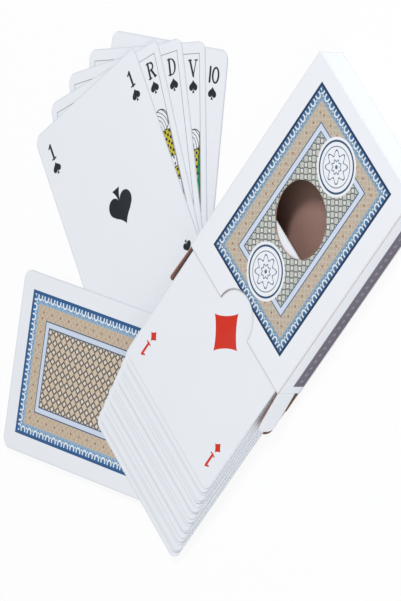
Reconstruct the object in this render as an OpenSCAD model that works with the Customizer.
// A short pack of playing cards half drawn out of its board tuck box, with a fan of five cards
// and one card lying back up beside it.
// The box lies flat on its back panel. +X runs from the open mouth to the closed end, +Y to the
// side where the fan lies, +Z up. The origin is the middle of the back panel's underside.

/* [Cards] */
// Width of a card
card_w = 63; // [54:0.5:72]
// Length of a card
card_l = 88; // [78:0.5:100]
// Thickness of a card
card_t = 0.25; // [0.2:0.01:0.35]
// Radius of a card's corners
corner_r = 3.6; // [1:0.1:6]
// Air between one card and the next
card_gap = 0.02; // [0.02:0.01:0.04]

/* [Stack in the box] */
// Length of the top card that is still inside the box
top_in = 37.6; // [30:0.1:50]
// Length of the lowest card that is still inside the box
low_in = 3; // [2:0.1:10]
// How far the drawn-out card ends stray from an even slope
stray = 0.9; // [0:0.1:1.2]
// How far the cards lie to either side of the box's middle
wander = 0.12; // [0:0.02:0.4]
// Turn of a card in the loose stack, in degrees
skew = 0.12; // [0:0.02:0.34]

/* [Fan] */
// Distance of the fan's turning point in front of the mouth
fan_ahead = 20.7; // [19:0.1:28]
// Distance of the fan's turning point from the box's side
fan_aside = 7.6; // [7.5:0.1:14]
// Distance of the turning point from a card's long edge
fan_inset_side = 18.3; // [14:0.1:22]
// Distance of the turning point from a card's short edge
fan_inset_end = 11.5; // [8:0.1:20]
// Turn of the first card of the fan, in degrees
fan_first = 14.5; // [5:0.5:20]
// Turn from one card of the fan to the next, in degrees
fan_step = 9.2; // [4:0.1:9.8]

/* [Turned card] */
// Distance in front of the mouth of the long edge that lies over the fan, at its middle
turned_ahead = 53.2; // [48:0.1:60]
// Distance of that edge's middle from the line of the box's side
turned_aside = 27.2; // [22:0.1:32]
// Turn of that card, in degrees
turned_angle = 55.5; // [45:0.5:70]

/* [Box] */
// Thickness of the board
board_t = 0.4; // [0.3:0.05:0.6]
// Room on each side of the cards
side_clear = 1; // [0.9:0.1:2]
// Room at the end of the cards
end_clear = 2.6; // [1:0.1:4]
// Room over the whole pack
head_clear = 0.16; // [0.1:0.02:0.6]
// Radius of the round window in the front panel
window_r = 13; // [8:0.5:16]
// How far the window lies from the panel's middle towards the closed end
window_shift = 1.6; // [0:0.1:4]
// Radius of the thumb notch in the front panel's open edge
notch_r = 10; // [6:0.5:14]
// Length of the dust flaps at the mouth
flap_l = 17; // [10:0.5:24]
// Corner radius of the dust flaps
flap_r = 2.6; // [1:0.1:3]
// Splay of the dust flap beside the fan, in degrees
flap_splay_left = 2; // [0:0.5:30]
// Splay of the other dust flap, in degrees
flap_splay_right = 5; // [0:0.5:40]
// Length of the lid's tuck tongue
tongue_l = 15; // [10:0.5:20]
// Corner radius of the tuck tongue
tongue_r = 6; // [3:0.5:9]
// Length of the inner tongue at the closed end
inner_tongue_l = 12; // [8:0.5:18]
// Length of the inner dust flaps at the closed end
inner_flap_l = 17; // [10:0.5:24]

/* [Hidden] */
// Number of cards in the fan, of loose cards, and of the whole pack
fan_count = 5;
loose_count = 6;
pack_count = 32;
deck_count = pack_count - loose_count;
// Turns that spread the small irregularities over the stack, in degrees a card
stray_turn = 100.8;
wander_turn = 79.2;
skew_turn = 136.8;
// Gap at a seam between two pieces of board
seam = 0.02;
// Gap at a crease that folds
crease = 0.06;
// How far the lid and its tongue stand in from the box's sides
lid_inset = 0.3;
// How far a glued strip stops short of the box's ends
strip_inset = 2;
// How far cuts run past the faces they open
overrun = 1;

// Outer sizes of the box, from the cards and the room around them
pitch = card_t + card_gap;
box_w = card_w + 2 * side_clear + 3 * board_t;
box_l = card_l + end_clear + 2 * board_t;
box_h = pack_count * pitch + head_clear + 2 * board_t;
mouth_x = -box_l / 2;
end_x = box_l / 2;
inner_h = box_h - 2 * board_t;
// Lowest height that clears every loose card
flap_low = level_z(loose_count) + card_gap;
flap_high = box_h - board_t - seam;
lid_l = box_h - board_t;
fan_x = mouth_x - fan_ahead;
fan_y = box_w / 2 + fan_aside;

// Underside of a card on the given level: levels 0 to 5 are the loose cards
function level_z(level) = board_t + card_gap + level * (card_t + card_gap);
// Length inside the box, offset from the middle, and turn of card j of the stack, counted from below
function deck_in(j) = low_in + (top_in - low_in) * j / (deck_count - 1) + stray * sin(j * stray_turn);
function deck_y(j) = wander * sin(j * wander_turn);
function deck_skew(j) = skew * sin(j * skew_turn);

// A flat shape of the given length and width with four round corners
module round_plate(length, width, radius) {
    square([length - 2 * radius, width], center = true);
    square([length, width - 2 * radius], center = true);
    for (sx = [-1, 1], sy = [-1, 1])
        translate([sx * (length / 2 - radius), sy * (width / 2 - radius)])
            circle(r = radius);
}

// One card with its long side along X
module card_blank() {
    linear_extrude(height = card_t)
        round_plate(card_l, card_w, corner_r);
}

// Card j of the stack that slides in the box, counted from below
module stack_card(j) {
    color("whitesmoke")
        translate([mouth_x + deck_in(j) - card_l / 2, deck_y(j), level_z(loose_count + j)])
            rotate([0, 0, deck_skew(j)])
                card_blank();
}

// Card k of the fan, counted from below, turned about the fan's common point
module fan_card(k) {
    color("white")
        translate([fan_x, fan_y, level_z(k)])
            rotate([0, 0, -fan_first - fan_step * (fan_count - 1 - k)])
                translate([fan_inset_side - card_w / 2, card_l / 2 - fan_inset_end, 0])
                    rotate([0, 0, 90])
                        card_blank();
}

module ten_of_spades() {
    fan_card(0);
}

module jack_of_spades() {
    fan_card(1);
}

module queen_of_spades() {
    fan_card(2);
}

module king_of_spades() {
    fan_card(3);
}

module ace_of_spades() {
    fan_card(4);
}

// The card that lies back up over the fan's corners, with one end under the stack
module turned_card() {
    color("steelblue")
        translate([mouth_x - turned_ahead, box_w / 2 + turned_aside, level_z(fan_count)])
            rotate([0, 0, -turned_angle])
                translate([0, -card_w / 2, 0])
                    card_blank();
}

// The top card of the stack
module ace_of_diamonds() {
    stack_card(deck_count - 1);
}

// Printed panel on top, with the round window and the thumb notch
module front_panel() {
    color("lightsteelblue")
        translate([0, 0, box_h - board_t])
            linear_extrude(height = board_t)
                difference() {
                    square([box_l, box_w], center = true);
                    translate([window_shift, 0])
                        circle(r = window_r);
                    translate([mouth_x, 0])
                        circle(r = notch_r);
                }
}

// Panel that the box lies on
module back_panel() {
    color("lightsteelblue")
        linear_extrude(height = board_t)
            square([box_l, box_w], center = true);
}

// A side wall between the two panels; side is 1 beside the fan and -1 on the other side
module side_panel(side) {
    color("white")
        translate([0, side * (box_w - board_t) / 2, box_h / 2])
            cube([box_l, board_t, inner_h - 2 * seam], center = true);
}

module left_side_panel() {
    side_panel(1);
}

module right_side_panel() {
    side_panel(-1);
}

// Strip glued inside the right side wall, which closes the box's sleeve
module glue_strip() {
    color("peru")
        translate([0, -(box_w / 2 - board_t * 3 / 2 - seam), box_h / 2])
            cube([box_l - 2 * strip_inset, board_t, inner_h - 2 * seam], center = true);
}

// Closed end between the panels and the side walls
module end_panel() {
    color("white")
        translate([end_x - board_t / 2, 0, box_h / 2])
            cube([board_t, box_w - 2 * board_t - 2 * seam, inner_h - 2 * seam], center = true);
}

// Tongue of the closed end, tucked in along the back panel
module end_tongue() {
    color("peru")
        translate([end_x - 2 * board_t - 2 * seam - inner_tongue_l / 2, 0, board_t + seam])
            linear_extrude(height = board_t - seam)
                square([inner_tongue_l, box_w - 4 * board_t - 2 * strip_inset], center = true);
}

// Inner dust flap of the closed end, folded in from a side wall
module end_flap(side) {
    color("peru")
        translate([end_x - board_t * 3 / 2 - seam,
                   side * (box_w / 2 - 2 * board_t - 2 * seam - inner_flap_l / 2), box_h / 2])
            cube([board_t, inner_flap_l, inner_h - 2 * seam], center = true);
}

module end_flap_left() {
    end_flap(1);
}

module end_flap_right() {
    end_flap(-1);
}

// Lid panel, open and flat on the table in front of the mouth
module lid_panel() {
    color("white")
        translate([mouth_x - crease - lid_l / 2, 0, 0])
            linear_extrude(height = board_t)
                square([lid_l, box_w - 2 * lid_inset], center = true);
}

// Tuck tongue with two round corners, flat in front of the lid
module tuck_tongue() {
    tongue_w = box_w - 4 * lid_inset;
    color("white")
        translate([mouth_x - 2 * crease - lid_l - tongue_l, 0, 0])
            linear_extrude(height = board_t) {
                translate([tongue_r, -tongue_w / 2])
                    square([tongue_l - tongue_r, tongue_w]);
                translate([0, tongue_r - tongue_w / 2])
                    square([tongue_l, tongue_w - 2 * tongue_r]);
                for (sy = [-1, 1])
                    translate([tongue_r, sy * (tongue_w / 2 - tongue_r)])
                        circle(r = tongue_r);
            }
}

// Outline of a dust flap in its own plane: X out of the mouth, Y up, round at its free end
module flap_outline() {
    flap_h = flap_high - flap_low;
    square([flap_l - flap_r, flap_h]);
    translate([0, flap_r])
        square([flap_l, flap_h - 2 * flap_r]);
    for (fy = [flap_r, flap_h - flap_r])
        translate([flap_l - flap_r, fy])
            circle(r = flap_r);
}

// Dust flap at the mouth, which turns outward on the outer edge of its side wall
module dust_flap(side, splay) {
    color("peru")
        translate([mouth_x - crease, side * box_w / 2, flap_low])
            rotate([0, 0, -side * splay])
                mirror([1, 0, 0])
                    translate([0, side > 0 ? 0 : board_t, 0])
                        rotate([90, 0, 0])
                            linear_extrude(height = board_t)
                                flap_outline();
}

module dust_flap_left() {
    dust_flap(1, flap_splay_left);
}

module dust_flap_right() {
    dust_flap(-1, flap_splay_right);
}

front_panel();
back_panel();
left_side_panel();
right_side_panel();
glue_strip();
end_panel();
end_tongue();
end_flap_left();
end_flap_right();
lid_panel();
tuck_tongue();
dust_flap_left();
dust_flap_right();
ten_of_spades();
jack_of_spades();
queen_of_spades();
king_of_spades();
ace_of_spades();
turned_card();
stack_card(0);  // stack_card_01
stack_card(1);  // stack_card_02
stack_card(2);  // stack_card_03
stack_card(3);  // stack_card_04
stack_card(4);  // stack_card_05
stack_card(5);  // stack_card_06
stack_card(6);  // stack_card_07
stack_card(7);  // stack_card_08
stack_card(8);  // stack_card_09
stack_card(9);  // stack_card_10
stack_card(10);  // stack_card_11
stack_card(11);  // stack_card_12
stack_card(12);  // stack_card_13
stack_card(13);  // stack_card_14
stack_card(14);  // stack_card_15
stack_card(15);  // stack_card_16
stack_card(16);  // stack_card_17
stack_card(17);  // stack_card_18
stack_card(18);  // stack_card_19
stack_card(19);  // stack_card_20
stack_card(20);  // stack_card_21
stack_card(21);  // stack_card_22
stack_card(22);  // stack_card_23
stack_card(23);  // stack_card_24
stack_card(24);  // stack_card_25
ace_of_diamonds();
